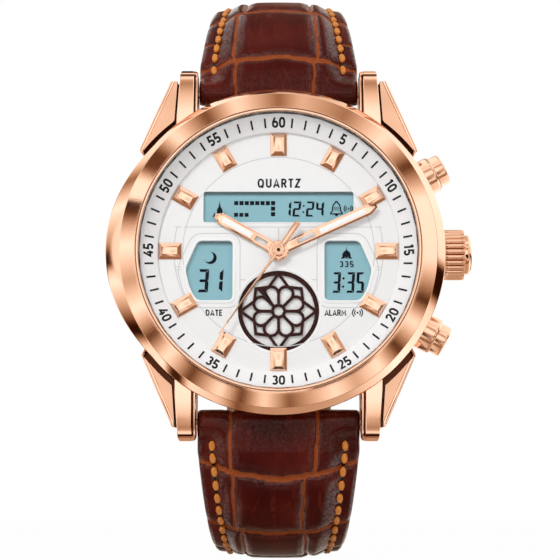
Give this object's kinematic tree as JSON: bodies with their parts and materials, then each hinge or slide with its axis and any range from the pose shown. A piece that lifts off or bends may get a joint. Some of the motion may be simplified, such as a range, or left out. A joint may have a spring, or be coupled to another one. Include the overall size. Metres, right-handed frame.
{
  "type": "analogue and digital prayer alarm wristwatch",
  "caption": "Round wristwatch with three hands, three liquid crystal windows and a rosette, on a padded leather strap that lies open with its pin buckle.",
  "frame": {"origin": "centre of the outer flat face of the case back, which rests on the wearer's wrist", "axes": "the dial faces -Y, 12 o'clock is +Z and the crown, at 3 o'clock, is +X"},
  "size_m": [0.0498, 0.0812, 0.0828],
  "materials": {
    "rose_gold": "polished rose gold plating on steel",
    "steel": "brushed stainless steel",
    "brass": "satin brass",
    "white_lacquer": "white lacquer on a metal plate",
    "display": "liquid crystal panel, pale teal with dark segments",
    "luminous_paint": "matte luminous paint",
    "brown_enamel": "dark brown enamel",
    "pearl": "mother of pearl",
    "black_plastic": "moulded black plastic",
    "circuit_green": "circuit board with green solder mask",
    "rubber": "black rubber",
    "crystal_glass": "clear mineral glass",
    "strap_leather": "glossy red-brown leather with an embossed crocodile grain and orange stitching"
  },
  "bodies": {
    "case": {"middle_case": "rose_gold", "case_back": "steel", "case_back_gasket": "rubber", "case_back_screw_1": "steel", "case_back_screw_2": "steel", "case_back_screw_3": "steel", "case_back_screw_4": "steel", "bezel": "rose_gold", "crystal": "crystal_glass", "crystal_gasket": "rubber", "chapter_ring": "white_lacquer", "dial": "white_lacquer", "hour_marker_01": "rose_gold", "hour_marker_02": "rose_gold", "hour_marker_03": "rose_gold", "hour_marker_04": "rose_gold", "hour_marker_05": "rose_gold", "hour_marker_06": "rose_gold", "hour_marker_07": "rose_gold", "hour_marker_08": "rose_gold", "hour_marker_09": "rose_gold", "hour_marker_10": "rose_gold", "hour_marker_11": "rose_gold", "hour_marker_12": "rose_gold", "rosette_grille": "brown_enamel", "rosette_disc": "pearl", "lcd_panel": "display", "movement_block": "black_plastic", "movement_ring": "black_plastic", "circuit_board": "circuit_green", "battery": "steel", "speaker": "brass", "crown_tube": "steel", "pusher_upper_tube": "rose_gold", "pusher_upper_spring": "steel", "pusher_lower_tube": "rose_gold", "pusher_lower_spring": "steel", "spring_bar_upper": "steel", "spring_bar_lower": "steel"},
    "hour_hand_set": {"hour_hand": "rose_gold", "hour_hand_lume": "luminous_paint", "hour_wheel": "brass"},
    "minute_hand_set": {"minute_hand": "rose_gold", "minute_hand_lume": "luminous_paint", "cannon_pinion": "steel"},
    "second_hand_set": {"second_hand": "rose_gold", "second_arbor": "steel"},
    "crown_slider": {"setting_lever": "steel"},
    "crown_and_stem": {"crown": "rose_gold", "crown_stem": "steel"},
    "pusher_upper": {"pusher_upper_cap": "rose_gold"},
    "pusher_lower": {"pusher_lower_cap": "rose_gold"},
    "strap_12": {"strap_upper": "strap_leather", "keeper_fixed": "strap_leather"},
    "strap_6": {"strap_lower": "strap_leather"},
    "keeper": {"keeper_free": "strap_leather"},
    "buckle": {"buckle_frame": "rose_gold", "buckle_bar": "steel"},
    "tongue": {"buckle_tongue": "rose_gold"}
  },
  "joints": [
    {"name": "second_hand_turn", "type": "hinge", "parent": "case", "child": "second_hand_set", "pos_m": [0, -0.0097, 0], "axis": [0, 1, 0], "continuous": true},
    {"name": "minute_hand_turn", "type": "hinge", "parent": "case", "child": "minute_hand_set", "pos_m": [0, -0.0093, 0], "axis": [0, 1, 0], "continuous": true},
    {"name": "hour_hand_turn", "type": "hinge", "parent": "case", "child": "hour_hand_set", "pos_m": [0, -0.0088, 0], "axis": [0, 1, 0], "continuous": true},
    {"name": "crown_pull", "type": "slide", "parent": "case", "child": "crown_slider", "axis": [1, 0, 0], "range_m": [0, 0.0012]},
    {"name": "crown_turn", "type": "hinge", "parent": "crown_slider", "child": "crown_and_stem", "pos_m": [0.0246, -0.00487, 0], "axis": [1, 0, 0], "continuous": true},
    {"name": "pusher_upper_press", "type": "slide", "parent": "case", "child": "pusher_upper", "axis": [-0.8829, 0, -0.4695], "range_m": [0, 0.0009], "stiffness_N_per_m": 800, "springref_m": -0.001, "deforming": ["pusher_upper_spring"]},
    {"name": "pusher_lower_press", "type": "slide", "parent": "case", "child": "pusher_lower", "axis": [-0.8829, 0, 0.4695], "range_m": [0, 0.0009], "stiffness_N_per_m": 800, "springref_m": -0.001, "deforming": ["pusher_lower_spring"]},
    {"name": "strap_upper_swing", "type": "hinge", "parent": "case", "child": "strap_12", "pos_m": [0, -0.0036, 0.02335], "axis": [1, 0, 0], "range_deg": [-12, 55]},
    {"name": "strap_lower_swing", "type": "hinge", "parent": "case", "child": "strap_6", "pos_m": [0, -0.0036, -0.02335], "axis": [-1, 0, 0], "range_deg": [-12, 55]},
    {"name": "keeper_slide", "type": "hinge", "parent": "strap_12", "child": "keeper", "pos_m": [0, 0.01286, 0.00672], "axis": [1, 0, 0], "range_deg": [0, 18]},
    {"name": "buckle_swing", "type": "hinge", "parent": "strap_12", "child": "buckle", "pos_m": [0, 0.04484, 0.00672], "axis": [1, 0, 0], "range_deg": [-50, 30]},
    {"name": "tongue_swing", "type": "hinge", "parent": "buckle", "child": "tongue", "pos_m": [0, 0.04484, 0.00672], "axis": [1, 0, 0], "range_deg": [0, 80]}
  ],
  "couplings": [
    {"joint": "minute_hand_turn", "follows": "second_hand_turn", "ratio": 0.016667},
    {"joint": "hour_hand_turn", "follows": "second_hand_turn", "ratio": 0.0013889}
  ]
}
